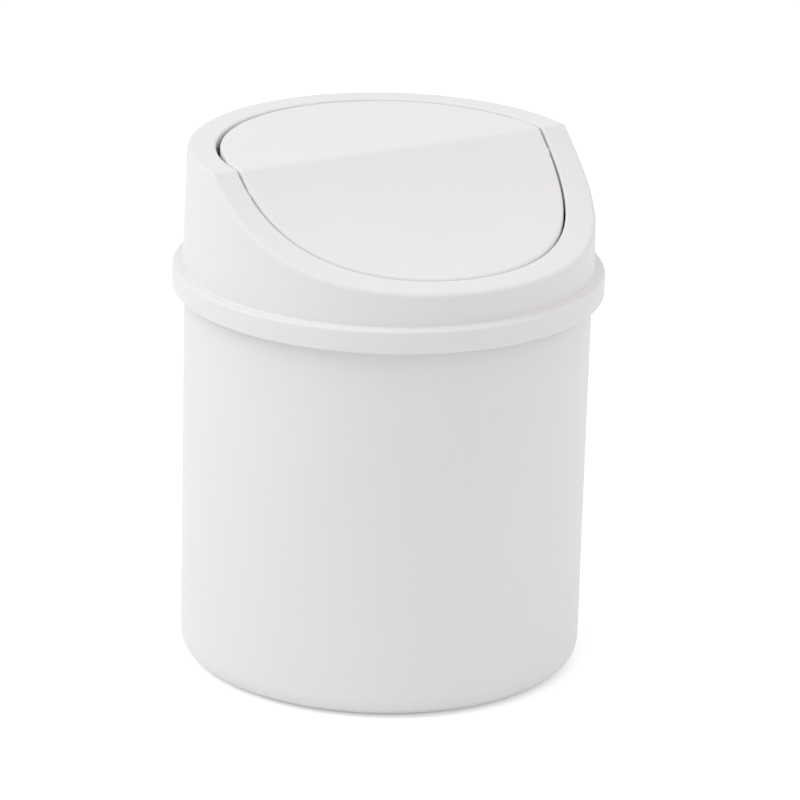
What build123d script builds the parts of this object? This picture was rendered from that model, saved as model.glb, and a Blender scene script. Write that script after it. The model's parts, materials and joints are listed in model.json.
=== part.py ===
from build123d import *
from math import asin, degrees, radians, sqrt, tan
import os

# A small round desk bin: a drafted barrel, a lift-off lid cover and a swing flap that
# fills the round opening of the lid. Sizes are in millimetres. The origin is the middle
# of the foot, +Z is up, and the low side of the lid faces -Y.

# Barrel sizes
barrel_height = 129.8     # from the foot to the rim that carries the lid
foot_radius = 65.1        # outside radius where the wall meets the floor
barrel_flare = 0.5        # how much wider the mouth is than the foot
barrel_wall = 1.6
foot_corner = 6.5         # outside rounding between wall and foot, drawn as three flats
floor_bevel = 4.5         # inside slope between wall and floor
floor_wall = 1.8
foot_recess = 1.3         # the middle of the base stands this high off the table
foot_ring_width = 5.0     # flat ring that touches the table
bead_proud = 1.5          # the rolled rim stands out from the wall by this much
bead_depth = 3.0
bead_bevel = 0.6
gate_radius = 3.0         # dimple under the base where the plastic was fed in
gate_depth = 0.5

# Lid cover sizes
total_height = 170.0
collar_height = 7.7       # face of the skirt that hangs around the rim
skirt_wall = 1.8
skirt_gap = 0.6           # clearance between the skirt and the rolled rim
rib_gap = 0.3             # clearance between the centring ribs and the rolled rim
rib_count = 12
rib_width = 1.6
rib_depth = 4.2
shelf_wall = 1.8          # thickness of the ledge that rests on the rim
shelf_width = 3.3         # ledge that shows around the lid's wall
front_wall_height = 10.4  # lid's wall at the very front, above the ledge
lid_wall = 1.8
lid_taper = 0.9           # how much the lid's wall leans in over its height
scoop_radius = 107.0      # hollow curve of the front of the roof
rim_width = 9.2           # flat frame left around the opening
lip_depth = 8.0           # collar turned down around the opening
lip_wall = 1.6
crease_round = 1.2
roof_edge_bevel = 0.8
opening_edge_bevel = 0.5
collar_top_bevel = 0.9
collar_low_bevel = 0.4

# Swing flap sizes
flap_front_gap = 0.7      # gap to the opening in front and beside the pins
flap_rear_gap = 1.4
gap_change_y = 10.0       # the gap starts to widen this far behind the ridge
gap_change_angle = 4.0    # degrees over which it widens
gap_change_round = 3.0
flap_wall = 1.8
flap_rim_depth = 3.4      # turned-down edge that stiffens the flap
flap_rim_wall = 1.5
flap_crease_round = 4.0
flap_edge_bevel = 0.6

# Pivot and stop sizes
pin_radius = 2.0
pin_clearance = 0.06
pin_depth = 4.7           # pin axis below the roof
pin_setback = 4.0         # pin axis in front of the ridge
pin_bite = 2.4            # length of each pin inside its hole
pin_tip_chamfer = 0.5
shoulder_radius = 3.1
shoulder_gap = 0.35       # side play between the flap's shoulders and the lip
flap_lug_radius = 4.2
flap_lug_wall = 2.2
flap_lug_inset = 2.2      # from the opening's edge to the outside of the flap's lug
lid_lug_radius = 5.0
lid_lug_length = 4.2
ramp_depth = 1.0          # lead-in groove that lets a pin snap up into its hole
ramp_clearance = 0.3
cross_rib_wall = 1.6
cross_rib_drop = 1.5      # the rib between the lugs ends this far below the pin axis
stop_gap = 0.2            # between the shut flap and the ledge it falls on
stop_wall = 1.6
stop_width = 14.0
stop_overlap = 1.4        # how far the ledge reaches under the flap's edge
gusset_wall = 1.8

# Levels and radii that follow from the sizes above
mouth_radius = foot_radius + barrel_flare
bead_radius = mouth_radius + bead_proud
floor_z = foot_recess + floor_wall
skirt_radius = bead_radius + skirt_gap
collar_radius = skirt_radius + skirt_wall
shelf_z = barrel_height + shelf_wall
collar_low_z = shelf_z - collar_height
lid_radius = collar_radius - shelf_width
lid_top_radius = lid_radius - lid_taper
opening_radius = lid_top_radius - rim_width
reach = 2 * collar_radius

# The lid and the flap are cut from blanks that stand a little higher than the roof
blank_top_z = total_height + lid_wall
lid_lean = lid_taper / (total_height - shelf_z)
lid_blank_radius = lid_radius - lid_lean * (blank_top_z - shelf_z)

# The front of the roof is a hollow arc, level at the front and cut off by the flat top at
# the ridge, which lies on the middle line of the bin.
scoop_low_z = shelf_z + front_wall_height
scoop_centre_z = scoop_low_z + scoop_radius
scoop_centre_y = -sqrt(scoop_radius**2 - (scoop_centre_z - total_height) ** 2)


def roof_section(drop, ridge_round, above=True):
    """Side view of the space above the roof, or below it, lowered square to itself by drop."""
    arc_radius = scoop_radius + drop
    flat_z = total_height - drop
    far_z = total_height + reach if above else -reach
    sweep = degrees(asin(sqrt(arc_radius**2 - (scoop_centre_z - flat_z) ** 2) / arc_radius))
    with BuildSketch(Plane.YZ) as section:
        with BuildLine():
            scoop = CenterArc((scoop_centre_y, scoop_centre_z), arc_radius, 270, sweep)
            Polyline(
                scoop @ 1,
                (reach, flat_z),
                (reach, far_z),
                (-reach, far_z),
                (-reach, scoop_centre_z - arc_radius),
                scoop @ 0,
            )
        make_face()
        if ridge_round > 0:
            ridge = section.vertices().sort_by_distance(scoop @ 1)[0]
            fillet(ridge, ridge_round)
    return section.sketch


def roof_z(y):
    """Height of the roof's surface over a point on the middle line."""
    if y >= 0:
        return total_height
    return scoop_centre_z - sqrt(scoop_radius**2 - (y - scoop_centre_y) ** 2)


pin_y = -pin_setback
pin_z = roof_z(pin_y) - pin_depth


# Barrel: one turned section, with the rolled rim, the rounded foot and the recessed base
with BuildPart() as barrel:
    bead_low_z = barrel_height - bead_depth
    wall_at_bead = foot_radius + barrel_flare * bead_low_z / barrel_height
    ring_inner_radius = foot_radius - foot_corner - foot_ring_width
    foot_cut = foot_corner * (1 - tan(radians(22.5)))
    foot_second_cut = foot_corner * (tan(radians(22.5)) - tan(radians(11.25)))
    with BuildSketch(Plane.XZ) as barrel_section:
        with BuildLine():
            Polyline(
                (0, foot_recess),
                (ring_inner_radius - foot_recess, foot_recess),
                (ring_inner_radius, 0),
                (foot_radius, 0),
                (wall_at_bead, bead_low_z),
                (bead_radius, bead_low_z + bead_proud),
                (bead_radius, barrel_height),
                (mouth_radius - barrel_wall, barrel_height),
                (foot_radius - barrel_wall, floor_z),
                (0, floor_z),
                close=True,
            )
        make_face()
        foot_edge = barrel_section.vertices().sort_by_distance((foot_radius, 0))[0]
        chamfer(foot_edge, foot_cut)
        for flat_end in ((foot_radius - foot_cut, 0), (foot_radius, foot_cut)):
            flat_edge = barrel_section.vertices().sort_by_distance(flat_end)[0]
            chamfer(flat_edge, foot_second_cut)
        floor_edge = barrel_section.vertices().sort_by_distance((foot_radius - barrel_wall, floor_z))[0]
        chamfer(floor_edge, floor_bevel)
        bead_edge = barrel_section.vertices().sort_by_distance((bead_radius, barrel_height))[0]
        chamfer(bead_edge, bead_bevel)
    revolve(axis=Axis.Z)
    with BuildSketch(Plane.XY.offset(foot_recess)):
        Circle(gate_radius)
    extrude(amount=gate_depth, mode=Mode.SUBTRACT)
barrel.part.label = "barrel"


# The hollow under the lid, as the core of its mould: what is left out of the core stays
# standing in the lid, which is how the lip and the lugs around the pin holes are made.
with BuildPart() as lid_core:
    with BuildSketch(Plane.XZ):
        with BuildLine():
            Polyline(
                (0, collar_low_z),
                (skirt_radius, collar_low_z),
                (skirt_radius, barrel_height),
                (lid_radius - lid_wall, barrel_height),
                (lid_top_radius - lid_wall, total_height),
                (0, total_height),
                close=True,
            )
        make_face()
    revolve(axis=Axis.Z)
    extrude(roof_section(lid_wall, 0), amount=reach, both=True, mode=Mode.SUBTRACT)

with BuildPart() as lid_lip:
    with BuildSketch(Plane.XY.offset(shelf_z)):
        Circle(opening_radius + lip_wall)
        Circle(opening_radius, mode=Mode.SUBTRACT)
    extrude(amount=total_height - shelf_z)
    extrude(roof_section(lip_depth, 0, above=False), amount=reach, both=True, mode=Mode.SUBTRACT)

with BuildPart() as lid_lugs:
    with BuildSketch(Plane.YZ.offset(opening_radius - lip_wall)):
        with Locations((pin_y, pin_z)):
            Circle(lid_lug_radius)
            Rectangle(2 * lid_lug_radius, total_height - pin_z, align=(Align.CENTER, Align.MIN))
    extrude(amount=lid_lug_length + lip_wall)
    mirror(about=Plane.YZ)


# Lid cover: skirt, ledge and leaning wall, cut by the roof and by the round opening
with BuildPart() as lid_cover:
    with BuildSketch(Plane.YZ) as lid_section:
        with BuildLine():
            Polyline(
                (0, collar_low_z),
                (collar_radius, collar_low_z),
                (collar_radius, shelf_z),
                (lid_radius, shelf_z),
                (lid_blank_radius, blank_top_z),
                (0, blank_top_z),
                close=True,
            )
        make_face()
        collar_top = lid_section.vertices().sort_by_distance((collar_radius, shelf_z))[0]
        chamfer(collar_top, collar_top_bevel)
        collar_low = lid_section.vertices().sort_by_distance((collar_radius, collar_low_z))[0]
        chamfer(collar_low, collar_low_bevel)
    revolve(axis=Axis.Z)
    extrude(roof_section(0, crease_round), amount=reach, both=True, mode=Mode.SUBTRACT)
    chamfer(lid_cover.edges(Select.LAST).filter_by(GeomType.LINE, reverse=True), roof_edge_bevel)
    with BuildSketch(Plane.XY.offset(collar_low_z)):
        Circle(opening_radius)
    extrude(amount=reach, mode=Mode.SUBTRACT)
    opening_edges = lid_cover.edges(Select.LAST).filter_by(lambda edge: edge.center().Z > shelf_z)
    chamfer(opening_edges.filter_by(GeomType.LINE, reverse=True), opening_edge_bevel)

    add(lid_core.part - lid_lip.part - lid_lugs.part, mode=Mode.SUBTRACT)

    # Holes for the pins, with a groove below each one that leads its pin in
    with BuildSketch(Plane.YZ):
        with Locations((pin_y, pin_z)):
            Circle(pin_radius + pin_clearance)
    extrude(amount=opening_radius + lid_lug_length + lip_wall, both=True, mode=Mode.SUBTRACT)
    with BuildSketch(Plane.XZ.offset(-pin_y)):
        with BuildLine():
            Polyline(
                (opening_radius - lip_wall, pin_z),
                (opening_radius, pin_z),
                (opening_radius + ramp_depth, pin_z - lid_lug_radius),
                (opening_radius + ramp_depth, pin_z - 2 * lid_lug_radius),
                (opening_radius - lip_wall, pin_z - 2 * lid_lug_radius),
                close=True,
            )
        make_face()
        mirror(about=Plane.YZ)
    extrude(amount=pin_radius + ramp_clearance, both=True, mode=Mode.SUBTRACT)

    # Ledge at the back of the opening that stops the flap level with the roof
    stop_z = total_height - flap_rim_depth - stop_gap
    stop_inner_y = opening_radius - flap_rear_gap - stop_overlap
    with BuildSketch(Plane.XY.offset(stop_z - stop_wall)):
        Circle(opening_radius + lip_wall / 2)
        with Locations((0, stop_inner_y)):
            Rectangle(stop_width, lip_depth * 2, align=(Align.CENTER, Align.MIN), mode=Mode.INTERSECT)
    extrude(amount=stop_wall)
    with BuildSketch(Plane.YZ):
        with BuildLine():
            Polyline(
                (stop_inner_y, stop_z - stop_wall),
                (opening_radius + lip_wall / 2, stop_z - stop_wall),
                (opening_radius + lip_wall / 2, total_height - lip_depth),
                (opening_radius, total_height - lip_depth),
                close=True,
            )
        make_face()
    extrude(amount=gusset_wall / 2, both=True)

    # Centring ribs inside the skirt
    with BuildSketch(Plane.XY.offset(barrel_height - rib_depth)):
        with PolarLocations(bead_radius + rib_gap, rib_count):
            Rectangle(skirt_gap - rib_gap + skirt_wall / 2, rib_width, align=(Align.MIN, Align.CENTER))
    extrude(amount=rib_depth)
lid_cover.part.label = "lid_cover"


# Outline of the flap seen from above: a thin gap in front and beside the pins, and a
# wider one behind
flap_front_radius = opening_radius - flap_front_gap
flap_rear_radius = opening_radius - flap_rear_gap
narrow_angle = degrees(asin(gap_change_y / flap_front_radius))
wide_angle = narrow_angle + gap_change_angle
with BuildSketch(Plane.XY.offset(shelf_z)) as flap_outline:
    with BuildLine():
        front_edge = CenterArc((0, 0), flap_front_radius, 180 - narrow_angle, 180 + 2 * narrow_angle)
        rear_edge = CenterArc((0, 0), flap_rear_radius, wide_angle, 180 - 2 * wide_angle)
        Line(front_edge @ 1, rear_edge @ 0)
        Line(rear_edge @ 1, front_edge @ 0)
    make_face()
    fillet(flap_outline.vertices(), gap_change_round)

with BuildPart() as flap_core:
    with BuildSketch(Plane.XY.offset(shelf_z)):
        Circle(flap_rear_radius - flap_rim_wall)
    extrude(amount=total_height - shelf_z)
    extrude(roof_section(flap_wall, flap_crease_round - flap_wall), amount=reach, both=True, mode=Mode.SUBTRACT)

# Lugs and cross rib that carry the pins under the flap's ridge
lug_outer_x = opening_radius - flap_lug_inset
with BuildPart() as flap_lugs:
    with BuildSketch(Plane.YZ.offset(lug_outer_x - flap_lug_wall)):
        with Locations((pin_y, pin_z)):
            Circle(flap_lug_radius)
            Rectangle(2 * flap_lug_radius, total_height - pin_z, align=(Align.CENTER, Align.MIN))
    extrude(amount=flap_lug_wall)
    mirror(about=Plane.YZ)
    with BuildSketch(Plane.YZ):
        with Locations((pin_y, pin_z - cross_rib_drop)):
            Rectangle(cross_rib_wall, total_height - pin_z, align=(Align.CENTER, Align.MIN))
    extrude(amount=lug_outer_x - flap_lug_wall / 2, both=True)
    extrude(roof_section(flap_wall / 2, 0), amount=reach, both=True, mode=Mode.SUBTRACT)


# Swing flap: a dished plate with a turned-down edge and a pin on each side
with BuildPart() as swing_flap:
    add(flap_outline.sketch)
    extrude(amount=blank_top_z - shelf_z)
    extrude(roof_section(0, flap_crease_round), amount=reach, both=True, mode=Mode.SUBTRACT)
    chamfer(swing_flap.edges(Select.LAST).filter_by(Axis.X, reverse=True), flap_edge_bevel)
    add(flap_core.part, mode=Mode.SUBTRACT)
    extrude(roof_section(flap_rim_depth, 0, above=False), amount=reach, both=True, mode=Mode.SUBTRACT)
    add(flap_lugs.part)

    # Pins, each with a shoulder that keeps the flap in the middle of the opening
    shoulder_x = sqrt(opening_radius**2 - (pin_setback + shoulder_radius) ** 2) - shoulder_gap
    with BuildSketch(Plane.YZ.offset(lug_outer_x)):
        with Locations((pin_y, pin_z)):
            Circle(shoulder_radius)
    extrude(amount=shoulder_x - lug_outer_x)
    with BuildSketch(Plane.YZ.offset(lug_outer_x)):
        with Locations((pin_y, pin_z)):
            Circle(pin_radius)
    extrude(amount=opening_radius + pin_bite - lug_outer_x)
    pin_tip = swing_flap.faces().sort_by(Axis.X)[-1]
    chamfer(pin_tip.edges(), pin_tip_chamfer)
    split(bisect_by=Plane.YZ, keep=Keep.TOP)
    mirror(about=Plane.YZ)
swing_flap.part.label = "swing_flap"


os.makedirs("parts", exist_ok=True)
export_step(barrel.part, "parts/barrel.step")
export_step(lid_cover.part, "parts/lid_cover.step")
export_step(swing_flap.part, "parts/swing_flap.step")
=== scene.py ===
import json
import math

import bmesh
import bpy
from bpy.props import FloatProperty, FloatVectorProperty, IntProperty, PointerProperty
from mathutils import Matrix, Vector


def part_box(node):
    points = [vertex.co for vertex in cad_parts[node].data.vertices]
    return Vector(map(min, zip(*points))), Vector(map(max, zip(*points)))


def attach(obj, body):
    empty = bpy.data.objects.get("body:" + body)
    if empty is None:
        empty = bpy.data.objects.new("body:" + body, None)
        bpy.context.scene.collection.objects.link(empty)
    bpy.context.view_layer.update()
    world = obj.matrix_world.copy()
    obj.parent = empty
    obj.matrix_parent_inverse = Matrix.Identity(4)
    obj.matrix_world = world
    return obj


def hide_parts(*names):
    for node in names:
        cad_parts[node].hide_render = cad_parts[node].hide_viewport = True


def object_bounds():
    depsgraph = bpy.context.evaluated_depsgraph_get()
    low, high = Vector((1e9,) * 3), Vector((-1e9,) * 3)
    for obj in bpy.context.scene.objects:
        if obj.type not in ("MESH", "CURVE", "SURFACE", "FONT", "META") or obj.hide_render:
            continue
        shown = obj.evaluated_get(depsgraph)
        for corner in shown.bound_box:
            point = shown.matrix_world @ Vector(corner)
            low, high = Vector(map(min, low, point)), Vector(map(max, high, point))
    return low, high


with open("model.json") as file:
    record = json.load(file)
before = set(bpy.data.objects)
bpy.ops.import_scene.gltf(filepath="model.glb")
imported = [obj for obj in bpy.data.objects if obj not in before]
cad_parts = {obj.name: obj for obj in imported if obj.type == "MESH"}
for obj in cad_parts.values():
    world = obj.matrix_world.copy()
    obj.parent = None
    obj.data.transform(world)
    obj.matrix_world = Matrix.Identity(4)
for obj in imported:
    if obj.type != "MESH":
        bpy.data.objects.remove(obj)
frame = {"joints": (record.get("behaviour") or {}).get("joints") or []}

bl_info = {
    "name": "Small Swing Lid Desk Bin",
    "version": (1, 0, 0),
    "blender": (4, 5, 0),
    "location": "View3D > Sidebar > Desk Bin",
    "description": "Models and finishes a small white desk bin around its fixed frame",
    "category": "Object",
}

# One millimetre in metres
MM = 0.001

# What the frame says: the whole box, the boxes of the nodes and the axis of the flap's pins
cad_low, cad_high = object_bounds()
barrel_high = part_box("barrel")[1]
lid_low, lid_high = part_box("lid_cover")
flap_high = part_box("swing_flap")[1]
flap_joint = next(joint for joint in frame["joints"] if joint["name"] == "flap_swing")
pin_axis = Vector(flap_joint["pos_m"])

# Steps round a full turn of the bin and of a pin, and over a rounded edge
SPIN_STEPS = 240
PIN_STEPS = 48
ROUND_STEPS = 5
STOP_ROUND_STEPS = 3

# Cuts that let a level plate follow the ridge and the hollow of the roof
LID_RIDGE_CUTS = 6
FLAP_RIDGE_CUTS = 8
HOLLOW_CUTS = 22
HOLLOW_CUT_SPACING = 2.5 * MM

# Points nearer to each other than the first are one, and points nearer to a cut than the second
# lie on it. The third, below zero, never joins a mirrored feature to its image.
MERGE_DISTANCE = 0.0001 * MM
CUT_DISTANCE = 0.001 * MM
KEEP_HALVES_APART = -1.0

# Turns sharper than the first keep a true edge. The second is how far large faces lead the
# shading, where 50 is even.
SHARP_ANGLE = math.radians(50.0)
SHADING_WEIGHT = 80

# Noise patterns of the finish: repeats per metre, detail and roughness
BROAD_TONE = (14.0, 3.0, 0.5)
STREAK_TONE = (60.0, 2.0, 0.5)
HAIR_MARKS = (90.0, 2.0, 0.5)
RUBBED_PATCHES = (26.0, 1.0, 0.5)
FOOT_SCUFFS = (420.0, 3.0, 0.5)
DUST_CLOUDS = (75.0, 4.0, 0.65)

# The levels of those patterns between which each effect fades in
TONE_LEVELS = (0.3, 0.7)
HAIR_LEVELS = (0.66, 0.74)
PATCH_LEVELS = (0.5, 0.62)
SCUFF_LEVELS = (0.45, 0.65)
CLOUD_LEVELS = (0.42, 0.72)
UPWARD_LEVELS = (0.55, 1.0)

# Detail and roughness of the two grains, and the scale of the coarse one beside the fine one
FINE_GRAIN = (2.0, 0.6)
COARSE_GRAIN = (1.0, 0.5)
COARSE_SCALE = 0.35

# How much the leading and the second pattern count where two are mixed
LEADING_SHARE = 0.7
SECOND_SHARE = 0.3

# How the streaks and the rubbing marks are drawn out, and how the marks are turned
STREAK_STRETCH = (1.0, 1.0, 0.25)
HAIR_STRETCH = (1.0, 24.0, 1.0)
HAIR_TURN = (0.4, 0.9, 0.3)

# The plastic, and what rubbing and dust do to its colour and its roughness
PLASTIC_IOR = 1.49
TONE_CHANGE = 0.012
ROUGHNESS_CHANGE = 0.03
RUBBED_COLOUR = (0.70, 0.68, 0.66, 1.0)
RUBBED_TINT = 0.10
RUBBED_ROUGHNESS = 0.10
DUST_COLOUR = (0.74, 0.72, 0.69, 1.0)
DUST_TINT = 0.06
DUST_ROUGHNESS = 0.16
DUST_AMOUNT = 0.35

# How worn each body is, and up to what height it is scuffed
WEAR = {"barrel": 0.8, "lid": 0.6, "flap": 0.9}
SCUFF_HEIGHT = {"barrel": 7.0 * MM, "lid": MM, "flap": MM}

# Lamps: which way they stand from the bin, and their side and distance in metres
KEY_DIRECTION = (-0.68, 0.26, 0.68)
SIDE_DIRECTION = (0.81, -0.31, 0.5)
TOP_DIRECTION = (-0.13, -0.22, 0.97)
LAMP_SIZE = 0.9
LAMP_DISTANCE = 1.2

# Floor: its size, how far it lies under the foot, its paper white and its glow to the eye
FLOOR_SIZE = 4.0
FLOOR_DROP = 0.05 * MM
FLOOR_COLOUR = (0.93, 0.93, 0.93, 1.0)
FLOOR_GLOW = 0.32

# Camera: sensor in millimetres, picture in pixels, where the bin's middle lies in the picture,
# and the nearest and farthest it sees in metres
SENSOR_WIDTH = 36.0
PICTURE_WIDTH = 800.0
MIDDLE_ACROSS = 385.17
MIDDLE_DOWN = 399.88
CLIP_START = 0.05
CLIP_END = 20.0


def length(name, description, size, **more):
    """A property that holds one real size, given in millimetres."""
    return FloatProperty(
        name=name, description=description, default=size * MM, unit="LENGTH", **more,
    )


def angle_setting(name, description, degrees):
    """A property that holds an angle."""
    return FloatProperty(
        name=name, description=description, default=math.radians(degrees), subtype="ANGLE",
    )


def power_setting(name, description, watts):
    """A property that holds the power of a lamp."""
    return FloatProperty(name=name, description=description, default=watts, unit="POWER")


def colour_setting(name, description, colour):
    """A property that holds a colour."""
    return FloatVectorProperty(
        name=name, description=description, default=colour, subtype="COLOR", min=0.0, max=1.0,
    )


class DeskBinBarrelSizes(bpy.types.PropertyGroup):
    """Sizes of the barrel."""

    flare: length("Flare", "How much wider the mouth is than the foot", 0.5)
    wall: length("Wall", "Thickness of the barrel's wall", 1.6)
    foot_round: length("Foot rounding", "Outside rounding between wall and foot", 6.5)
    floor_round: length("Floor rounding", "Inside rounding between wall and floor", 4.9)
    floor_wall: length("Floor", "Thickness of the floor", 1.8)
    foot_recess: length("Foot recess", "How high the middle of the base stands off the table", 1.3)
    foot_ring_width: length("Foot ring", "Width of the flat ring that touches the table", 5.0)
    bead_proud: length("Rolled rim", "How far the rolled rim stands out from the wall", 1.5)
    bead_depth: length("Rolled rim depth", "Height of the rolled rim", 3.0)
    bead_round: length("Rolled rim rounding", "Rounding of the rolled rim", 0.7)
    gate_radius: length("Gate radius", "Radius of the dimple under the base", 3.0)
    gate_depth: length("Gate depth", "Depth of the dimple under the base", 0.5)


class DeskBinLidSizes(bpy.types.PropertyGroup):
    """Sizes of the lid cover."""

    skirt_wall: length("Skirt wall", "Thickness of the skirt around the barrel's rim", 1.8)
    shelf_wall: length("Ledge wall", "Thickness of the ledge that rests on the rim", 1.8)
    shelf_width: length("Ledge width", "Ledge that shows around the lid's wall", 3.3)
    front_wall: length("Front wall", "Height of the lid's wall at the very front", 10.4)
    wall: length("Wall", "Thickness of the lid's wall and roof", 1.8)
    taper: length("Taper", "How much the lid's wall leans in over its full height", 0.9)
    scoop_radius: length("Scoop radius", "Radius of the hollow curve of the roof", 107.0)
    rim_width: length("Rim width", "Frame left around the opening", 9.2)
    lip_depth: length("Lip depth", "Depth of the lip turned down around the opening", 8.0)
    lip_wall: length("Lip wall", "Thickness of that lip", 1.6)
    crease_round: length("Crease rounding", "Rounding of the ridge of the lid", 1.5)
    roof_edge_round: length("Roof edge rounding", "Rounding of the roof's outer edge", 1.4)
    opening_round: length("Opening rounding", "Rounding of the edge of the opening", 0.8)
    ledge_round: length("Ledge rounding", "Rounding of the ledge's outer edge", 1.1)
    collar_round: length("Collar rounding", "Rounding of the skirt's lower outer edge", 0.8)
    skirt_round: length("Small rounding", "Rounding of the lid's other free edges", 0.5)
    inner_round: length("Inner rounding", "Rounding in the lid's inside corners", 0.6)
    lug_radius: length("Lug radius", "Radius of the lug around each pin hole", 5.0)
    lug_length: length("Lug length", "How far each lug stands out behind the lip", 4.2)
    pin_clearance: length("Pin clearance", "Gap around each pin in its hole", 0.06)
    ramp_depth: length("Ramp depth", "Depth of the groove that leads a pin in", 1.0)
    ramp_clearance: length("Ramp clearance", "Gap beside a pin in its groove", 0.3)
    stop_gap: length("Stop gap", "Gap between the shut flap and the ledge it falls on", 0.2)
    stop_wall: length("Stop wall", "Thickness of that ledge", 1.6)
    stop_width: length("Stop width", "Width of that ledge", 14.0)
    stop_overlap: length("Stop overlap", "How far that ledge reaches under the flap", 1.4)
    stop_round: length("Stop rounding", "Rounding of that ledge's front edge", 0.4)
    gusset_wall: length("Gusset", "Thickness of the web under that ledge", 1.8)
    rib_count: IntProperty(name="Ribs", description="Centring ribs inside the skirt", default=12, min=3)
    rib_gap: length("Rib gap", "Gap between the centring ribs and the rolled rim", 0.3)
    rib_width: length("Rib width", "Width of a centring rib", 1.6)
    rib_depth: length("Rib depth", "Height of a centring rib", 4.2)


class DeskBinFlapSizes(bpy.types.PropertyGroup):
    """Sizes of the swing flap."""

    front_gap: length("Front gap", "Gap to the opening in front and beside the pins", 0.7)
    rear_gap: length("Rear gap", "Gap to the opening along the back", 1.4)
    gap_change: length("Gap change", "Where the gap starts to widen, behind the ridge", 10.0)
    gap_blend: length("Gap blend", "Length along the edge over which the gap widens", 3.9)
    wall: length("Wall", "Thickness of the flap's plate", 1.8)
    rim_depth: length("Rim depth", "Depth of the turned-down edge", 3.4)
    rim_wall: length("Rim wall", "Thickness of the turned-down edge", 1.5)
    crease_round: length("Crease rounding", "Rounding of the ridge of the flap", 4.0)
    edge_round: length("Edge rounding", "Rounding of the flap's edge", 1.0)
    pin_radius: length("Pin radius", "Radius of the pins", 2.0)
    pin_tip_round: length("Pin tip rounding", "Rounding of the end of each pin", 0.5)
    shoulder_radius: length("Shoulder radius", "Radius of the shoulder behind each pin", 3.1)
    shoulder_gap: length("Shoulder gap", "Side play of the flap", 0.35)
    lug_radius: length("Lug radius", "Radius of the lug that carries each pin", 4.2)
    lug_wall: length("Lug wall", "Thickness of each lug", 2.2)
    lug_inset: length("Lug inset", "From the opening's edge to the outside of each lug", 2.2)
    cross_rib_wall: length("Cross rib", "Thickness of the rib between the lugs", 1.6)
    cross_rib_drop: length("Cross rib drop", "How far that rib reaches below the pins", 1.5)


class DeskBinFinish(bpy.types.PropertyGroup):
    """Colour and finish of the moulded plastic."""

    barrel_colour: colour_setting("Barrel colour", "Plastic of the barrel", (0.850, 0.838, 0.834))
    lid_colour: colour_setting("Lid colour", "Plastic of the lid cover", (0.850, 0.836, 0.832))
    flap_colour: colour_setting("Flap colour", "Plastic of the swing flap", (0.856, 0.838, 0.834))
    grain_size: length("Grain size", "Size of the fine spark-eroded grain", 0.45)
    grain_depth: length("Grain depth", "Depth of that grain", 0.025, precision=6)
    roughness: FloatProperty(
        name="Roughness", description="Roughness of the satin plastic", default=0.46, min=0.0, max=1.0,
    )


class DeskBinStage(bpy.types.PropertyGroup):
    """Camera, lamps and floor."""

    camera_azimuth: angle_setting("Camera azimuth", "Angle round the bin", -30.87)
    camera_elevation: angle_setting("Camera elevation", "Angle above the floor", 19.19)
    camera_roll: angle_setting("Camera roll", "Turn about the line of sight", 1.59)
    camera_distance: length("Camera distance", "From the bin's middle to the camera", 1780.31)
    focal_length: FloatProperty(
        name="Focal length", description="Lens of the camera in millimetres", default=247.5,
    )
    key_power: power_setting("Key light", "Power of the left lamp", 4.6)
    side_power: power_setting("Side light", "Power of the right lamp", 1.5)
    top_power: power_setting("Top light", "Power of the lamp above", 2.0)
    key_colour: colour_setting("Key colour", "Faintly cool daylight", (0.94, 0.96, 1.0))
    side_colour: colour_setting("Side colour", "Faintly warm room light", (1.0, 0.98, 0.94))
    top_colour: colour_setting("Top colour", "Plain white light", (1.0, 1.0, 1.0))
    sky_strength: FloatProperty(
        name="Sky", description="Strength of the even light all round", default=0.81,
    )


GROUPS = {
    "desk_bin_barrel": DeskBinBarrelSizes,
    "desk_bin_lid": DeskBinLidSizes,
    "desk_bin_flap": DeskBinFlapSizes,
    "desk_bin_finish": DeskBinFinish,
    "desk_bin_stage": DeskBinStage,
}


def clamp(value):
    return min(max(value, 0.0), 1.0)


def smooth_step(value):
    share = clamp(value)
    return share * share * (3.0 - 2.0 * share)


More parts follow.
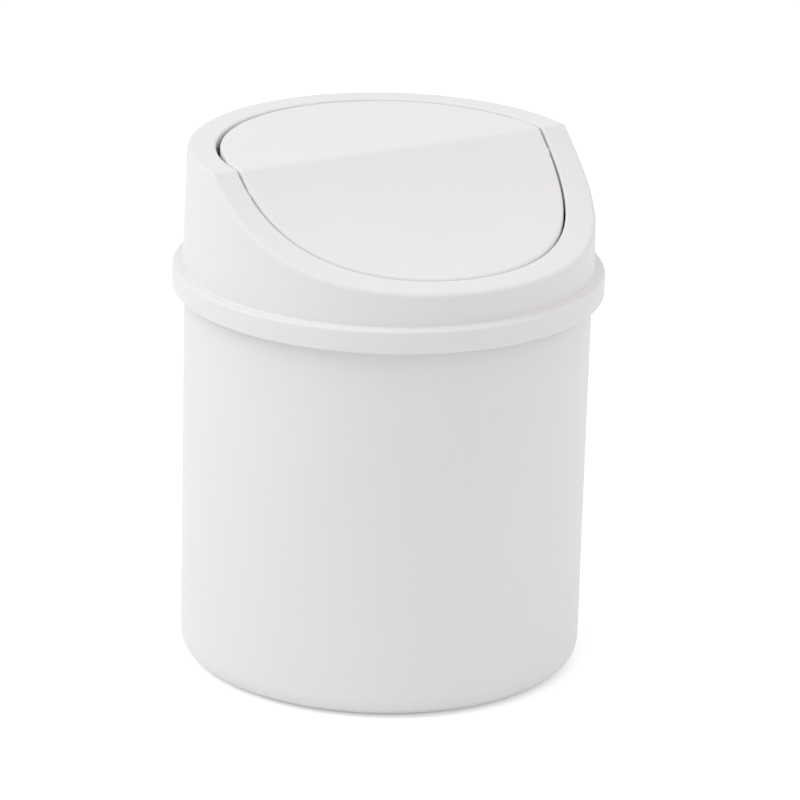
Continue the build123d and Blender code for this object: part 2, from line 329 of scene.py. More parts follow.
class BinShape:
    """Levels, radii and the roof that the barrel, the lid and the flap share."""

    def __init__(self, lid, flap):
        self.rim_z = barrel_high.z
        self.top_z = lid_high.z
        self.shelf_z = self.rim_z + lid.shelf_wall
        self.collar_radius = lid_high.x
        self.skirt_radius = self.collar_radius - lid.skirt_wall
        self.lid_radius = self.collar_radius - lid.shelf_width
        self.opening_radius = self.lid_radius - lid.taper - lid.rim_width
        self.inside_lip = self.opening_radius + lid.lip_wall / 2.0
        self.lean = lid.taper / (self.top_z - self.shelf_z)
        self.scoop_radius = lid.scoop_radius
        self.scoop_z = self.shelf_z + lid.front_wall + lid.scoop_radius
        self.scoop_y = -math.sqrt(lid.scoop_radius ** 2 - (self.scoop_z - self.top_z) ** 2)
        self.stop_y = self.opening_radius - flap.rear_gap - lid.stop_overlap
        self.stop_z = self.top_z - flap.rim_depth - lid.stop_gap
        self.pin_radius = flap.pin_radius

    def ridge_y(self, drop):
        """Where the hollow arc meets the flat top, both lowered square by drop."""
        rise = self.scoop_z - self.top_z + drop
        return self.scoop_y + math.sqrt((self.scoop_radius + drop) ** 2 - rise ** 2)

    def touch_y(self, drop, rounding):
        """Where the rounding of the ridge starts on the hollow arc."""
        share = (self.scoop_radius + drop) / (self.scoop_radius + drop + rounding)
        return self.scoop_y + (self.ridge_y(drop + rounding) - self.scoop_y) * share

    def height(self, y, drop, crease):
        """Height of the roof, lowered square by drop, with a ridge rounding of crease at the top."""
        rounding = max(crease - drop, 0.0)
        ridge = self.ridge_y(drop + rounding)
        if y >= ridge:
            return self.top_z - drop
        if y > self.touch_y(drop, rounding):
            return self.top_z - drop - rounding + math.sqrt(rounding ** 2 - (y - ridge) ** 2)
        return self.scoop_z - math.sqrt((self.scoop_radius + drop) ** 2 - (y - self.scoop_y) ** 2)


def bin_shape(scene):
    """The shared shape that the present sizes give."""
    return BinShape(scene.desk_bin_lid, scene.desk_bin_flap)


def inside_plate(y, sizes, shape):
    """Height halfway into the plate of the lid or the flap, where what hangs below it ends."""
    return shape.height(y, sizes.wall / 2.0, sizes.crease_round)


def settle_order(bm):
    """Sorts points, edges and faces by place, so that each run gives the same mesh."""
    for parts, place in (
        (bm.verts, lambda vertex: vertex.co[:]),
        (bm.edges, lambda edge: sorted(end.index for end in edge.verts)),
        (bm.faces, lambda face: sorted(corner.index for corner in face.verts)),
    ):
        rank = {part: index for index, part in enumerate(sorted(parts, key=place))}
        parts.sort(key=rank.get)
        parts.index_update()


def settle_edges(bm):
    """Lets each edge run from its earlier point to its later one, so that each run cuts alike."""
    settle_order(bm)
    mesh = bpy.data.meshes.new("settled edges")
    bm.to_mesh(mesh)
    for edge in mesh.edges:
        edge.vertices = sorted(edge.vertices)
    bm.clear()
    bm.from_mesh(mesh)
    bpy.data.meshes.remove(mesh)


def round_corner(bm, corner, rounding):
    """Rounds a corner of a drawn section with an arc of the given radius."""
    arms = [(edge.other_vert(corner).co - corner.co).normalized() for edge in corner.link_edges]
    turn = math.pi - arms[0].angle(arms[1])
    bmesh.ops.bevel(
        bm, geom=[corner], offset=rounding * math.tan(turn / 2.0), offset_type="OFFSET",
        segments=ROUND_STEPS, profile=0.5, affect="VERTICES", material=-1,
    )


def round_edges(bm, edges, rounding, steps):
    """Rounds edges with arcs of the given radius."""
    bmesh.ops.bevel(
        bm, geom=edges, offset=rounding, segments=steps, profile=0.5, affect="EDGES", material=-1,
    )


def turn_section(bm, corners, closed, steps):
    """Draws a section of (radius, height, rounding) corners and turns it about the Z axis."""
    points = [bm.verts.new((radius, 0.0, height)) for radius, height, _ in corners]
    ends = points[1:] + points[:1] if closed else points[1:]
    for first, second in zip(points, ends):
        bm.edges.new((first, second))
    for point, (*_, rounding) in zip(points, corners):
        if rounding > 0.0:
            round_corner(bm, point, rounding)
    bmesh.ops.spin(
        bm, geom=bm.verts[:] + bm.edges[:], cent=(0.0, 0.0, 0.0), axis=(0.0, 0.0, 1.0),
        dvec=(0.0, 0.0, 0.0), angle=2.0 * math.pi, steps=steps, use_merge=True,
    )
    bmesh.ops.remove_doubles(bm, verts=bm.verts[:], dist=MERGE_DISTANCE)


def slice_across(bm, places):
    """Cuts the mesh by upright planes that face +Y, so that it can follow the roof."""
    settle_edges(bm)
    for y in places:
        bmesh.ops.bisect_plane(
            bm, geom=bm.verts[:] + bm.edges[:] + bm.faces[:], dist=CUT_DISTANCE,
            plane_co=(0.0, y, 0.0), plane_no=(0.0, 1.0, 0.0),
        )


def ridge_cuts(shape, crease, count):
    """Evenly spaced places over the rounding of the ridge."""
    start = shape.touch_y(0.0, crease)
    end = shape.ridge_y(crease)
    return [start + (end - start) * step / count for step in range(count + 1)]


def draw_out(bm, faces, direction):
    """Extrudes faces in a direction."""
    drawn = bmesh.ops.extrude_face_region(bm, geom=faces)["geom"]
    ends = [part for part in drawn if isinstance(part, bmesh.types.BMVert)]
    bmesh.ops.translate(bm, verts=ends, vec=direction)


def new_object(name, data):
    """An object with the given data, at the origin of the scene."""
    made = bpy.data.objects.new(name, data)
    bpy.context.scene.collection.objects.link(made)
    return made


def finished_mesh(name, bm):
    """Turns a bmesh into an object with its faces outwards."""
    settle_order(bm)
    bmesh.ops.recalc_face_normals(bm, faces=bm.faces[:])
    mesh = bpy.data.meshes.new(name)
    bm.to_mesh(mesh)
    bm.free()
    return new_object(name, mesh)


def merge_in(body, feature, operation):
    """Adds a feature to a body, or cuts it out, and keeps one closed mesh."""
    step = body.modifiers.new(operation.lower(), "BOOLEAN")
    step.operation = operation
    step.solver = "MANIFOLD"
    step.object = feature
    graph = bpy.context.evaluated_depsgraph_get()
    mesh = bpy.data.meshes.new_from_object(body.evaluated_get(graph))
    body.modifiers.remove(step)
    if len(mesh.polygons) == 0:
        raise RuntimeError(f"{feature.name} left nothing of {body.name}")
    old = body.data
    body.data = mesh
    mesh.name = body.name
    bpy.data.meshes.remove(old)
    bpy.data.meshes.remove(feature.data)


def shade_moulded(body):
    """Smooth faces with true edges where the plastic turns sharply."""
    body.data.polygons.foreach_set("use_smooth", [True] * len(body.data.polygons))
    body.data.set_sharp_from_angle(angle=SHARP_ANGLE)
    weight = body.modifiers.new("even shading", "WEIGHTED_NORMAL")
    weight.keep_sharp = True
    weight.weight = SHADING_WEIGHT


def on_pin_axis(x):
    """Places what is made about the Z axis on the axis of the pins, with its middle at x."""
    place = Matrix.Translation((x, pin_axis.y, pin_axis.z))
    return place @ Matrix.Rotation(math.pi / 2.0, 4, "Y")


def add_box(bm, low, high):
    """A block between two corners."""
    low, high = Vector(low), Vector(high)
    place = Matrix.Translation((low + high) / 2.0) @ Matrix.Diagonal((*(high - low), 1.0))
    return bmesh.ops.create_cube(bm, size=1.0, matrix=place)["verts"]


def add_prism(bm, outline, direction):
    """A block with the given flat outline, drawn out along a direction."""
    base = bm.faces.new([bm.verts.new(point) for point in outline])
    draw_out(bm, [base], direction)


def add_lug(bm, sizes, shape, start_x, end_x):
    """A lug round the pin axis, on the right, that reaches up into the plate above it."""
    disc = bmesh.ops.create_circle(
        bm, cap_ends=True, segments=PIN_STEPS, radius=sizes.lug_radius, matrix=on_pin_axis(start_x),
    )["verts"]
    for point in disc:
        limit = inside_plate(point.co.y, sizes, shape)
        point.co.z = limit if point.co.z >= pin_axis.z else min(point.co.z, limit)
    draw_out(bm, [disc[0].link_faces[0]], (end_x - start_x, 0.0, 0.0))


def both_sides(bm):
    """Adds the mirror image across the middle of the bin."""
    bmesh.ops.mirror(
        bm, geom=bm.verts[:] + bm.edges[:] + bm.faces[:], axis="X", merge_dist=KEEP_HALVES_APART,
    )


def model_barrel(sizes, shape):
    """The barrel: one turned wall with its rolled rim, rounded foot and recessed base."""
    bead_radius = barrel_high.x
    mouth_radius = bead_radius - sizes.bead_proud
    foot_radius = mouth_radius - sizes.flare
    bead_low = shape.rim_z - sizes.bead_depth
    wall_at_bead = foot_radius + sizes.flare * bead_low / shape.rim_z
    ring_inner = foot_radius - sizes.foot_round - sizes.foot_ring_width
    floor_z = sizes.foot_recess + sizes.floor_wall
    gate_top = sizes.foot_recess + sizes.gate_depth
    gate_round = sizes.gate_depth / 3.0
    soft = sizes.bead_round / 2.0
    corners = [
        (0.0, gate_top, 0.0),
        (sizes.gate_radius, gate_top, gate_round),
        (sizes.gate_radius, sizes.foot_recess, gate_round),
        (ring_inner - sizes.foot_recess, sizes.foot_recess, soft),
        (ring_inner, 0.0, soft),
        (foot_radius, 0.0, sizes.foot_round),
        (wall_at_bead, bead_low, soft),
        (bead_radius, bead_low + sizes.bead_proud, soft),
        (bead_radius, shape.rim_z, sizes.bead_round),
        (mouth_radius - sizes.wall, shape.rim_z, soft),
        (foot_radius - sizes.wall, floor_z, sizes.floor_round),
        (0.0, floor_z, 0.0),
    ]
    bm = bmesh.new()
    turn_section(bm, corners, False, SPIN_STEPS)
    barrel = finished_mesh("bin_barrel", bm)
    shade_moulded(barrel)
    return barrel


def lid_blank(sizes, shape):
    """The lid as it would be under a level roof: skirt, ledge, wall, roof and lip."""
    inner = sizes.inner_round
    lip_low = shape.top_z - sizes.lip_depth
    roof_low = shape.top_z - sizes.wall
    lip_radius = shape.opening_radius + sizes.lip_wall
    wall_radius = shape.lid_radius - sizes.wall
    corners = [
        (shape.skirt_radius, lid_low.z, sizes.skirt_round / 2.0),
        (shape.collar_radius, lid_low.z, sizes.collar_round),
        (shape.collar_radius, shape.shelf_z, sizes.ledge_round),
        (shape.lid_radius, shape.shelf_z, sizes.skirt_round),
        (shape.lid_radius, shape.top_z, sizes.roof_edge_round),
        (shape.opening_radius, shape.top_z, sizes.opening_round),
        (shape.opening_radius, lip_low, sizes.skirt_round),
        (lip_radius, lip_low, sizes.skirt_round),
        (lip_radius, roof_low, inner),
        (wall_radius, roof_low, inner),
        (wall_radius, shape.rim_z, sizes.skirt_round),
        (shape.skirt_radius, shape.rim_z, sizes.skirt_round),
    ]
    bm = bmesh.new()
    turn_section(bm, corners, True, SPIN_STEPS)
    lower_ridges = [shape.ridge_y(sizes.wall), shape.ridge_y(sizes.lip_depth)]
    slice_across(bm, ridge_cuts(shape, sizes.crease_round, LID_RIDGE_CUTS) + lower_ridges)
    return bm


def drape_lid(bm, sizes, shape):
    """Leans the wall of the blank in, and lowers its level roof onto the hollow roof."""
    middle = (shape.shelf_z + shape.top_z) / 2.0
    lean_start = shape.opening_radius + 2.0 * sizes.lip_wall
    lean_full = shape.lid_radius - sizes.wall
    for vertex in bm.verts:
        if vertex.co.z < middle:
            continue
        drop = shape.top_z - vertex.co.z
        reach = vertex.co.xy.length
        rise = shape.height(vertex.co.y, drop, sizes.crease_round) - shape.shelf_z
        share = clamp((reach - lean_start) / (lean_full - lean_start))
        vertex.co.xy *= 1.0 - share * shape.lean * rise / reach
        # The lean has moved the point along the roof, so its height is worked out anew
        vertex.co.z = shape.height(vertex.co.y, drop, sizes.crease_round)


def add_stop_ledge(bm, sizes, shape):
    """The ledge at the back that the shut flap falls on."""
    half = sizes.stop_width / 2.0
    low = (-half, shape.stop_y, shape.stop_z - sizes.stop_wall)
    ledge = add_box(bm, low, (half, shape.inside_lip, shape.stop_z))
    front = [
        edge for edge in bm.edges
        if all(end in ledge and end.co.y < shape.stop_y + MM for end in edge.verts)
    ]
    round_edges(bm, front, sizes.stop_round, STOP_ROUND_STEPS)


def add_centring_ribs(bm, sizes, shape):
    """The ribs inside the skirt that centre the lid on the rolled rim."""
    half = sizes.rib_width / 2.0
    low = (barrel_high.x + sizes.rib_gap, -half, shape.rim_z - sizes.rib_depth)
    high = (shape.skirt_radius + sizes.skirt_wall / 2.0, half, shape.rim_z + sizes.shelf_wall / 2.0)
    for index in range(sizes.rib_count):
        turned = Matrix.Rotation(2.0 * math.pi * index / sizes.rib_count, 4, "Z")
        bmesh.ops.transform(bm, matrix=turned, verts=add_box(bm, low, high))


def lid_additions(sizes, shape):
    """Lugs behind the lip, the ledge that stops the flap, and the centring ribs."""
    bm = bmesh.new()
    add_lug(bm, sizes, shape, shape.inside_lip, shape.opening_radius + sizes.lug_length)
    both_sides(bm)
    add_stop_ledge(bm, sizes, shape)
    add_centring_ribs(bm, sizes, shape)
    return finished_mesh("lid_additions", bm)


def stop_gusset(sizes, shape):
    """The web that holds up the stop ledge."""
    bm = bmesh.new()
    side = -sizes.gusset_wall / 2.0
    under = shape.stop_z - sizes.stop_wall / 2.0
    lip_low = shape.top_z - sizes.lip_depth + sizes.skirt_round
    outline = [
        (side, shape.stop_y + sizes.stop_wall / 2.0, under),
        (side, shape.inside_lip, under),
        (side, shape.inside_lip, lip_low),
        (side, shape.opening_radius, lip_low),
    ]
    add_prism(bm, outline, (sizes.gusset_wall, 0.0, 0.0))
    return finished_mesh("stop_gusset", bm)


def pin_bores(sizes, shape):
    """The two holes in which the pins turn."""
    bm = bmesh.new()
    start = shape.opening_radius - sizes.lip_wall
    end = shape.opening_radius + sizes.lug_length + sizes.lip_wall
    bore = shape.pin_radius + sizes.pin_clearance
    bmesh.ops.create_cone(
        bm, cap_ends=True, segments=PIN_STEPS, radius1=bore, radius2=bore, depth=end - start,
        matrix=on_pin_axis((start + end) / 2.0),
    )
    both_sides(bm)
    return finished_mesh("pin_bores", bm)


def pin_ramps(sizes, shape):
    """The grooves below the holes, which lead the pins in."""
    bm = bmesh.new()
    start = shape.opening_radius - sizes.lip_wall
    half = shape.pin_radius + sizes.ramp_clearance
    side = pin_axis.y - half
    ramp_x = shape.opening_radius + sizes.ramp_depth
    ramp_z = pin_axis.z - sizes.lug_radius
    outline = [
        (start, side, pin_axis.z),
        (shape.opening_radius, side, pin_axis.z),
        (ramp_x, side, ramp_z),
        (ramp_x, side, ramp_z - sizes.lug_radius),
        (start, side, ramp_z - sizes.lug_radius),
    ]
    add_prism(bm, outline, (0.0, 2.0 * half, 0.0))
    both_sides(bm)
    return finished_mesh("pin_ramps", bm)


def model_lid(sizes, shape):
    """The lid cover, with its lugs, stop, ribs and pin holes."""
    bm = lid_blank(sizes, shape)
    drape_lid(bm, sizes, shape)
    lid = finished_mesh("bin_lid", bm)
    for feature in (lid_additions, stop_gusset):
        merge_in(lid, feature(sizes, shape), "UNION")
    for feature in (pin_bores, pin_ramps):
        merge_in(lid, feature(sizes, shape), "DIFFERENCE")
    shade_moulded(lid)
    return lid


def flap_edge(angle, sizes, shape):
    """Radius of the flap's edge: a thin gap in front and beside the pins, a wider one behind."""
    behind = min(angle, math.pi - angle) * shape.opening_radius
    share = smooth_step((behind - sizes.gap_change) / sizes.gap_blend)
    return shape.opening_radius - sizes.front_gap - (sizes.rear_gap - sizes.front_gap) * share


def edge_on_rim(edge, sizes, shape):
    """True for the outer edge of the flap's upper face."""
    level = all(end.co.z > shape.top_z - sizes.wall / 2.0 for end in edge.verts)
    return level and len(edge.link_faces) == 2


def flap_blank(sizes, shape):
    """The flap under a level roof: a plate with a rounded edge and a turned-down rim."""
    bm = bmesh.new()
    level = Matrix.Translation((0.0, 0.0, shape.top_z))
    bmesh.ops.create_circle(bm, cap_ends=True, segments=SPIN_STEPS, radius=1.0, matrix=level)
    for vertex in bm.verts:
        vertex.co.xy *= flap_edge(math.atan2(vertex.co.y, vertex.co.x), sizes, shape)
    draw_out(bm, bm.faces[:], (0.0, 0.0, -sizes.rim_depth))
    bmesh.ops.recalc_face_normals(bm, faces=bm.faces[:])
    under = min(bm.faces, key=lambda face: face.calc_center_median().z)
    bmesh.ops.inset_region(bm, faces=[under], thickness=sizes.rim_wall, use_even_offset=True)
    core_radius = shape.opening_radius - sizes.rear_gap - sizes.rim_wall
    for vertex in under.verts:
        vertex.co.xy = vertex.co.xy.normalized() * core_radius
    draw_out(bm, [under], (0.0, 0.0, sizes.rim_depth - sizes.wall))
    # The old underside would lie on as a wall inside the flap
    if under.is_valid:
        bmesh.ops.delete(bm, geom=[under], context="FACES_ONLY")
    rim_edges = [edge for edge in bm.edges if edge_on_rim(edge, sizes, shape)]
    round_edges(bm, rim_edges, sizes.edge_round, ROUND_STEPS)
    roof_face = max(bm.faces, key=lambda face: face.calc_area())
    bmesh.ops.inset_region(bm, faces=[roof_face], thickness=sizes.edge_round, use_even_offset=True)
    return bm


def drape_flap(bm, sizes, shape):
    """Lowers the level plate onto the hollow roof."""
    hollow = [-HOLLOW_CUT_SPACING * step for step in range(1, HOLLOW_CUTS + 1)]
    slice_across(bm, ridge_cuts(shape, sizes.crease_round, FLAP_RIDGE_CUTS) + hollow)
    for vertex in bm.verts:
        drop = shape.top_z - vertex.co.z
        vertex.co.z = shape.height(vertex.co.y, drop, sizes.crease_round)


def flap_lugs(sizes, shape):
    """The lugs under the ridge of the flap that carry its pins."""
    bm = bmesh.new()
    outer_x = shape.opening_radius - sizes.lug_inset
    add_lug(bm, sizes, shape, outer_x - sizes.lug_wall, outer_x)
    both_sides(bm)
    return finished_mesh("flap_lugs", bm)


def flap_cross_rib(sizes, shape):
    """The rib that stiffens the flap from lug to lug."""
    bm = bmesh.new()
    half = sizes.cross_rib_wall / 2.0
    reach = shape.opening_radius - sizes.lug_inset - sizes.lug_wall / 2.0
    low = (-reach, pin_axis.y - half, pin_axis.z - sizes.cross_rib_drop)
    for vertex in add_box(bm, low, (reach, pin_axis.y + half, shape.top_z)):
        vertex.co.z = min(vertex.co.z, inside_plate(vertex.co.y, sizes, shape))
    return finished_mesh("flap_cross_rib", bm)


def flap_pins(sizes, shape):
    """The two pins, each with its shoulder, turned about the axis of the hinge."""
    bm = bmesh.new()
    inside_lug = shape.opening_radius - sizes.lug_inset - sizes.lug_wall / 2.0
    forward = -pin_axis.y + sizes.shoulder_radius
    shoulder_x = math.sqrt(shape.opening_radius ** 2 - forward ** 2) - sizes.shoulder_gap
    fine = sizes.pin_tip_round / 3.0
    corners = [
        (0.0, inside_lug, 0.0),
        (sizes.shoulder_radius, inside_lug, 0.0),
        (sizes.shoulder_radius, shoulder_x, fine),
        (sizes.pin_radius, shoulder_x, fine),
        (sizes.pin_radius, flap_high.x, sizes.pin_tip_round),
        (0.0, flap_high.x, 0.0),
    ]
    turn_section(bm, corners, False, PIN_STEPS)
    bmesh.ops.transform(bm, matrix=on_pin_axis(0.0), verts=bm.verts[:])
    both_sides(bm)
    return finished_mesh("flap_pins", bm)


def model_flap(sizes, shape):
    """The swing flap, with its lugs, cross rib and pins."""
    bm = flap_blank(sizes, shape)
    drape_flap(bm, sizes, shape)
    flap = finished_mesh("bin_flap", bm)
    for feature in (flap_lugs, flap_cross_rib, flap_pins):
        merge_in(flap, feature(sizes, shape), "UNION")
    shade_moulded(flap)
    return flap


def feed(tree, socket, value):
    """Links another socket, or sets a plain value."""
    if isinstance(value, bpy.types.NodeSocket):
        tree.links.new(value, socket)
    else:
        socket.default_value = value


def calculate(tree, operation, *values):
    """A Math node, and the socket with its result."""
    node = tree.nodes.new("ShaderNodeMath")
    node.operation = operation
    for socket, value in zip(node.inputs, values):
        feed(tree, socket, value)
    return node.outputs["Value"]


def add_part(tree, value, extra, share):
    """A value, plus a share of another."""
    return calculate(tree, "ADD", value, calculate(tree, "MULTIPLY", extra, share))


def two_patterns(tree, leading, second):
    """A mix in which the first pattern leads."""
    return add_part(tree, calculate(tree, "MULTIPLY", leading, LEADING_SHARE), second, SECOND_SHARE)


def remap(tree, value, levels, results=(0.0, 1.0)):
    """A Map Range node that stops at both ends."""
    node = tree.nodes.new("ShaderNodeMapRange")
    names = ("Value", "From Min", "From Max", "To Min", "To Max")
    for name, number in zip(names, (value, *levels, *results)):
        feed(tree, node.inputs[name], number)
    return node.outputs["Result"]


def noise(tree, place, scale, detail, roughness):
    """A noise pattern on the given place."""
    node = tree.nodes.new("ShaderNodeTexNoise")
    names = ("Vector", "Scale", "Detail", "Roughness")
    for name, value in zip(names, (place, scale, detail, roughness)):
        feed(tree, node.inputs[name], value)
    return node.outputs["Fac"]


def stretch(tree, place, scale, turn=(0.0, 0.0, 0.0)):
    """The given place, turned and drawn out."""
    node = tree.nodes.new("ShaderNodeMapping")
    for name, value in (("Vector", place), ("Rotation", turn), ("Scale", scale)):
        feed(tree, node.inputs[name], value)
    return node.outputs["Vector"]


def upright_part(tree, vector):
    """The Z part of a place or a direction."""
    node = tree.nodes.new("ShaderNodeSeparateXYZ")
    tree.links.new(vector, node.inputs["Vector"])
    return node.outputs["Z"]


def blend_colour(tree, share, first, second):
    """A colour between two others."""
    node = tree.nodes.new("ShaderNodeMix")
    node.data_type = "RGBA"
    for socket, value in zip((node.inputs["Factor"], *node.inputs[6:8]), (share, first, second)):
        feed(tree, socket, value)
    return node.outputs[2]


def new_group(name, inputs, outputs):
    """An empty node group with named sockets."""
    group = bpy.data.node_groups.new(name, "ShaderNodeTree")
    for side, sockets in (("INPUT", inputs), ("OUTPUT", outputs)):
        for label, kind in sockets.items():
            group.interface.new_socket(name=label, in_out=side, socket_type=f"NodeSocket{kind}")
    return group, group.nodes.new("NodeGroupInput").outputs, group.nodes.new("NodeGroupOutput").inputs


def spark_grain_group(name):
    """The fine, even grain that a spark-eroded mould leaves on the plastic."""
    group, given, result = new_group(name, {"Place": "Vector", "Size": "Float"}, {"Height": "Float"})
    scale = calculate(group, "DIVIDE", 1.0, given["Size"])
    fine = noise(group, given["Place"], scale, *FINE_GRAIN)
    coarse_scale = calculate(group, "MULTIPLY", scale, COARSE_SCALE)
    coarse = noise(group, given["Place"], coarse_scale, *COARSE_GRAIN)
    group.links.new(two_patterns(group, fine, coarse), result["Height"])
    return group


def melt_tone_group(name):
    """Broad, faint changes of tone where the melt flowed and cooled at different rates."""
    inputs = {"Place": "Vector", "Plastic": "Color", "Amount": "Float"}
    group, given, result = new_group(name, inputs, {"Colour": "Color", "Tone": "Float"})
    broad = noise(group, given["Place"], *BROAD_TONE)
    streak = noise(group, stretch(group, given["Place"], STREAK_STRETCH), *STREAK_TONE)
    tone = two_patterns(group, broad, streak)
    spread = remap(group, tone, TONE_LEVELS, (-1.0, 1.0))
    scaled = group.nodes.new("ShaderNodeVectorMath")
    scaled.operation = "SCALE"
    group.links.new(given["Plastic"], scaled.inputs[0])
    group.links.new(add_part(group, 1.0, spread, given["Amount"]), scaled.inputs["Scale"])
    group.links.new(scaled.outputs["Vector"], result["Colour"])
    group.links.new(tone, result["Tone"])
    return group


def handling_group(name):
    """Hair-fine rubbing marks, and scuffs near the foot where the bin slides on a table."""
    inputs = {"Place": "Vector", "Scuff height": "Float", "Amount": "Float"}
    group, given, result = new_group(name, inputs, {"Mask": "Float"})
    drawn_out = stretch(group, given["Place"], HAIR_STRETCH, HAIR_TURN)
    hair = remap(group, noise(group, drawn_out, *HAIR_MARKS), HAIR_LEVELS)
    patch = remap(group, noise(group, given["Place"], *RUBBED_PATCHES), PATCH_LEVELS)
    rubbed = calculate(group, "MULTIPLY", hair, patch)
    height = upright_part(group, given["Place"])
    low = remap(group, height, (0.0, given["Scuff height"]), (1.0, 0.0))
    scuffs = remap(group, noise(group, given["Place"], *FOOT_SCUFFS), SCUFF_LEVELS)
    scuffed = calculate(group, "MULTIPLY", low, scuffs)
    mask = calculate(group, "MAXIMUM", rubbed, scuffed)
    group.links.new(calculate(group, "MULTIPLY", mask, given["Amount"]), result["Mask"])
    return group


def dust_group(name):
    """A breath of dust on what faces up."""
    inputs = {"Place": "Vector", "Facing": "Vector", "Amount": "Float"}
    group, given, result = new_group(name, inputs, {"Mask": "Float"})
    upward = remap(group, upright_part(group, given["Facing"]), UPWARD_LEVELS)
    cloud = remap(group, noise(group, given["Place"], *DUST_CLOUDS), CLOUD_LEVELS)
    settled = calculate(group, "MULTIPLY", upward, cloud)
    group.links.new(calculate(group, "MULTIPLY", settled, given["Amount"]), result["Mask"])
    return group


EFFECTS = {
    "spark grain": spark_grain_group,
    "melt tone": melt_tone_group,
    "handling": handling_group,
    "settled dust": dust_group,
}


def place_effect(tree, name, values):
    """A node that uses a shared effect, which the first material makes and the others find."""
    node = tree.nodes.new("ShaderNodeGroup")
    node.node_tree = bpy.data.node_groups.get(name) or EFFECTS[name](name)
    for label, value in values.items():
        feed(tree, node.inputs[label], value)
    return node.outputs


def bare_tree(owner):
    """The emptied node tree of a material or a world."""
    owner.use_nodes = True
    owner.node_tree.nodes.clear()
    return owner.node_tree


def moulded_plastic(body, colour, finish):
    """Satin white polypropylene with mould grain, faint tones, rubbing marks and dust."""
    material = bpy.data.materials.new(f"{body} plastic")
    tree = bare_tree(material)
    place = tree.nodes.new("ShaderNodeTexCoord").outputs["Object"]
    facing = tree.nodes.new("ShaderNodeNewGeometry").outputs["Normal"]
    tone = place_effect(
        tree, "melt tone", {"Place": place, "Plastic": (*colour, 1.0), "Amount": TONE_CHANGE},
    )
    handled = place_effect(
        tree, "handling", {"Place": place, "Scuff height": SCUFF_HEIGHT[body], "Amount": WEAR[body]},
    )["Mask"]
    dust = place_effect(
        tree, "settled dust", {"Place": place, "Facing": facing, "Amount": DUST_AMOUNT},
    )["Mask"]
    grain = place_effect(tree, "spark grain", {"Place": place, "Size": finish.grain_size})
    rubbed_share = calculate(tree, "MULTIPLY", handled, RUBBED_TINT)
    rubbed = blend_colour(tree, rubbed_share, tone["Colour"], RUBBED_COLOUR)
    dusted_share = calculate(tree, "MULTIPLY", dust, DUST_TINT)
    dusted = blend_colour(tree, dusted_share, rubbed, DUST_COLOUR)
    satin = (finish.roughness - ROUGHNESS_CHANGE, finish.roughness + ROUGHNESS_CHANGE)
    uneven = remap(tree, tone["Tone"], TONE_LEVELS, satin)
    worn = add_part(tree, uneven, handled, RUBBED_ROUGHNESS)
    settled = add_part(tree, worn, dust, DUST_ROUGHNESS)
    bump = tree.nodes.new("ShaderNodeBump")
    bump.inputs["Strength"].default_value = 1.0
    bump.inputs["Distance"].default_value = finish.grain_depth
    tree.links.new(grain["Height"], bump.inputs["Height"])
    shader = tree.nodes.new("ShaderNodeBsdfPrincipled")
    shader.inputs["IOR"].default_value = PLASTIC_IOR
    tree.links.new(dusted, shader.inputs["Base Color"])
    tree.links.new(settled, shader.inputs["Roughness"])
    tree.links.new(bump.outputs["Normal"], shader.inputs["Normal"])
    output = tree.nodes.new("ShaderNodeOutputMaterial")
    tree.links.new(shader.outputs["BSDF"], output.inputs["Surface"])
    return material


def finish_piece(piece, colour, body, node):
    """Gives a piece its plastic and ties it to the frame."""
    finish = bpy.context.scene.desk_bin_finish
    piece.data.materials.clear()
    piece.data.materials.append(moulded_plastic(body, colour, finish))
    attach(piece, body)
    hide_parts(node)


class DESKBIN_OT_barrel(bpy.types.Operator):
    """Model and finish the barrel"""

    bl_idname = "desk_bin.barrel"
    bl_label = "Barrel"

    def execute(self, context):
        scene = context.scene
        piece = model_barrel(scene.desk_bin_barrel, bin_shape(scene))
        finish_piece(piece, scene.desk_bin_finish.barrel_colour, "barrel", "barrel")
        return {"FINISHED"}


class DESKBIN_OT_lid(bpy.types.Operator):
    """Model and finish the lid cover"""

    bl_idname = "desk_bin.lid"
    bl_label = "Lid Cover"

    def execute(self, context):
        scene = context.scene
        piece = model_lid(scene.desk_bin_lid, bin_shape(scene))
        finish_piece(piece, scene.desk_bin_finish.lid_colour, "lid", "lid_cover")
        return {"FINISHED"}


class DESKBIN_OT_flap(bpy.types.Operator):
    """Model and finish the swing flap"""

    bl_idname = "desk_bin.flap"
    bl_label = "Swing Flap"

    def execute(self, context):
        scene = context.scene
        piece = model_flap(scene.desk_bin_flap, bin_shape(scene))
        finish_piece(piece, scene.desk_bin_finish.flap_colour, "flap", "swing_flap")
        return {"FINISHED"}


def seen_by_eye(tree):
    """1 for rays from the camera, and for those that gloss or glass send on."""
    path = tree.nodes.new("ShaderNodeLightPath")
    direct = calculate(tree, "ADD", path.outputs["Is Camera Ray"], path.outputs["Is Glossy Ray"])
    total = calculate(tree, "ADD", direct, path.outputs["Is Transmission Ray"])
    return calculate(tree, "MINIMUM", total, 1.0)


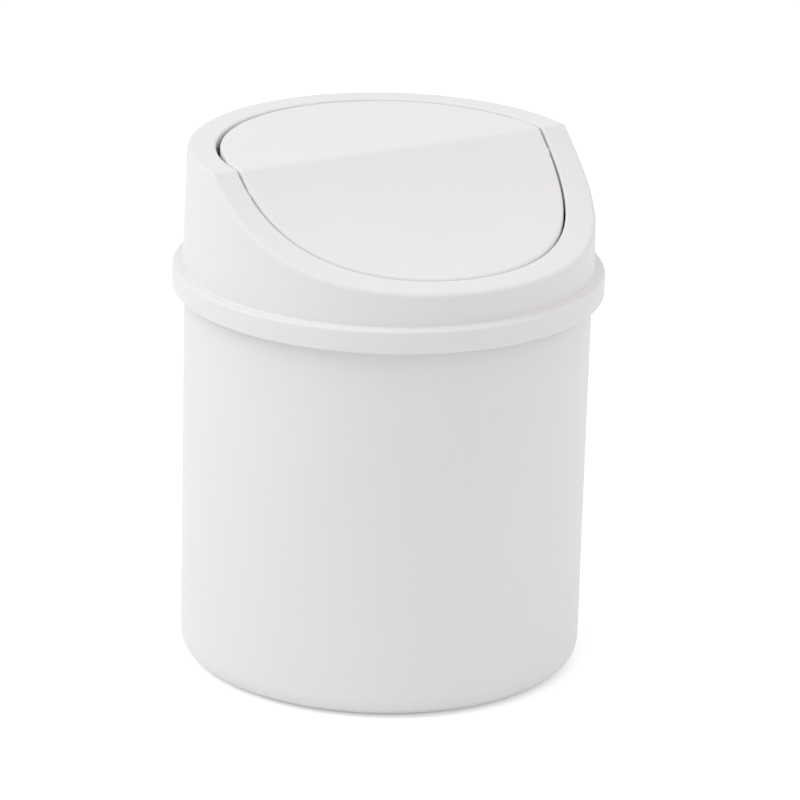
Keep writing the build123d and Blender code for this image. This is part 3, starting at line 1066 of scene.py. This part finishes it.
def white_floor():
    """A white floor that shows white to the eye and keeps the bin's soft shadow."""
    bm = bmesh.new()
    level = Matrix.Translation((0.0, 0.0, -FLOOR_DROP))
    bmesh.ops.create_grid(bm, x_segments=1, y_segments=1, size=FLOOR_SIZE, matrix=level)
    floor = finished_mesh("studio_floor", bm)
    material = bpy.data.materials.new("studio floor")
    tree = bare_tree(material)
    paper = tree.nodes.new("ShaderNodeBsdfDiffuse")
    paper.inputs["Color"].default_value = FLOOR_COLOUR
    glow = tree.nodes.new("ShaderNodeEmission")
    feed(tree, glow.inputs["Strength"], calculate(tree, "MULTIPLY", seen_by_eye(tree), FLOOR_GLOW))
    both = tree.nodes.new("ShaderNodeAddShader")
    tree.links.new(paper.outputs["BSDF"], both.inputs[0])
    tree.links.new(glow.outputs["Emission"], both.inputs[1])
    output = tree.nodes.new("ShaderNodeOutputMaterial")
    tree.links.new(both.outputs["Shader"], output.inputs["Surface"])
    floor.data.materials.append(material)


def studio_sky(strength):
    """An even light all round, which looks plain white to the eye."""
    world = bpy.data.worlds.new("studio sky")
    bpy.context.scene.world = world
    tree = bare_tree(world)
    sky = tree.nodes.new("ShaderNodeBackground")
    level = remap(tree, seen_by_eye(tree), (0.0, 1.0), (strength, 1.0))
    feed(tree, sky.inputs["Strength"], level)
    output = tree.nodes.new("ShaderNodeOutputWorld")
    tree.links.new(sky.outputs["Background"], output.inputs["Surface"])


def soft_lamp(name, direction, power, colour):
    """A large square lamp that shines on the bin from a direction."""
    lamp = bpy.data.lights.new(name, "AREA")
    lamp.energy = power
    lamp.color = colour
    lamp.size = LAMP_SIZE
    made = new_object(name, lamp)
    towards = Vector(direction).normalized()
    made.location = (cad_low + cad_high) / 2.0 + towards * LAMP_DISTANCE
    made.rotation_mode = "QUATERNION"
    made.rotation_quaternion = (-towards).to_track_quat("-Z", "Y")


def photo_camera(stage):
    """The camera at the photograph's viewing angle."""
    azimuth, elevation, roll = stage.camera_azimuth, stage.camera_elevation, stage.camera_roll
    back = Vector((
        math.sin(azimuth) * math.cos(elevation),
        -math.cos(azimuth) * math.cos(elevation),
        math.sin(elevation),
    ))
    right = Vector((math.cos(azimuth), math.sin(azimuth), 0.0))
    up = back.cross(right)
    level_right = right * math.cos(roll) + up * math.sin(roll)
    level_up = up * math.cos(roll) - right * math.sin(roll)
    data = bpy.data.cameras.new("photo camera")
    data.lens = stage.focal_length
    data.sensor_width = SENSOR_WIDTH
    data.clip_start = CLIP_START
    data.clip_end = CLIP_END
    focal_pixels = stage.focal_length / data.sensor_width * PICTURE_WIDTH
    per_pixel = stage.camera_distance / focal_pixels
    middle = Vector((0.0, 0.0, cad_high.z / 2.0))
    aside = level_right * (MIDDLE_ACROSS - PICTURE_WIDTH / 2.0) * per_pixel
    above = level_up * (MIDDLE_DOWN - PICTURE_WIDTH / 2.0) * per_pixel
    place = middle + back * stage.camera_distance - aside + above
    turned = Matrix((level_right, level_up, back)).transposed().to_4x4()
    camera = new_object("photo camera", data)
    camera.matrix_world = Matrix.Translation(place) @ turned
    bpy.context.scene.camera = camera


class DESKBIN_OT_stage(bpy.types.Operator):
    """Set up the camera, the lamps and the white floor"""

    bl_idname = "desk_bin.stage"
    bl_label = "Stage"

    def execute(self, context):
        stage = context.scene.desk_bin_stage
        context.scene.view_settings.view_transform = "Standard"
        photo_camera(stage)
        white_floor()
        studio_sky(stage.sky_strength)
        soft_lamp("key lamp", KEY_DIRECTION, stage.key_power, stage.key_colour)
        soft_lamp("side lamp", SIDE_DIRECTION, stage.side_power, stage.side_colour)
        soft_lamp("top lamp", TOP_DIRECTION, stage.top_power, stage.top_colour)
        return {"FINISHED"}


class DESKBIN_PT_panel(bpy.types.Panel):
    """The bin's steps and sizes in the sidebar"""

    bl_label = "Desk Bin"
    bl_idname = "DESKBIN_PT_panel"
    bl_space_type = "VIEW_3D"
    bl_region_type = "UI"
    bl_category = "Desk Bin"

    def draw(self, context):
        for step in STEPS:
            self.layout.operator(step.bl_idname)
        for name, group in GROUPS.items():
            box = self.layout.box()
            box.label(text=group.__doc__.rstrip("."))
            for field in group.__annotations__:
                box.prop(getattr(context.scene, name), field)


STEPS = (DESKBIN_OT_stage, DESKBIN_OT_barrel, DESKBIN_OT_lid, DESKBIN_OT_flap)
CLASSES = (*GROUPS.values(), *STEPS, DESKBIN_PT_panel)


def register():
    for cls in CLASSES:
        bpy.utils.register_class(cls)
    for name, group in GROUPS.items():
        setattr(bpy.types.Scene, name, PointerProperty(type=group))


def unregister():
    for name in GROUPS:
        delattr(bpy.types.Scene, name)
    for cls in reversed(CLASSES):
        bpy.utils.unregister_class(cls)


def main():
    register()
    bpy.ops.desk_bin.stage()
    bpy.ops.desk_bin.barrel()
    bpy.ops.desk_bin.lid()
    bpy.ops.desk_bin.flap()


if __name__ == "__main__":
    main()
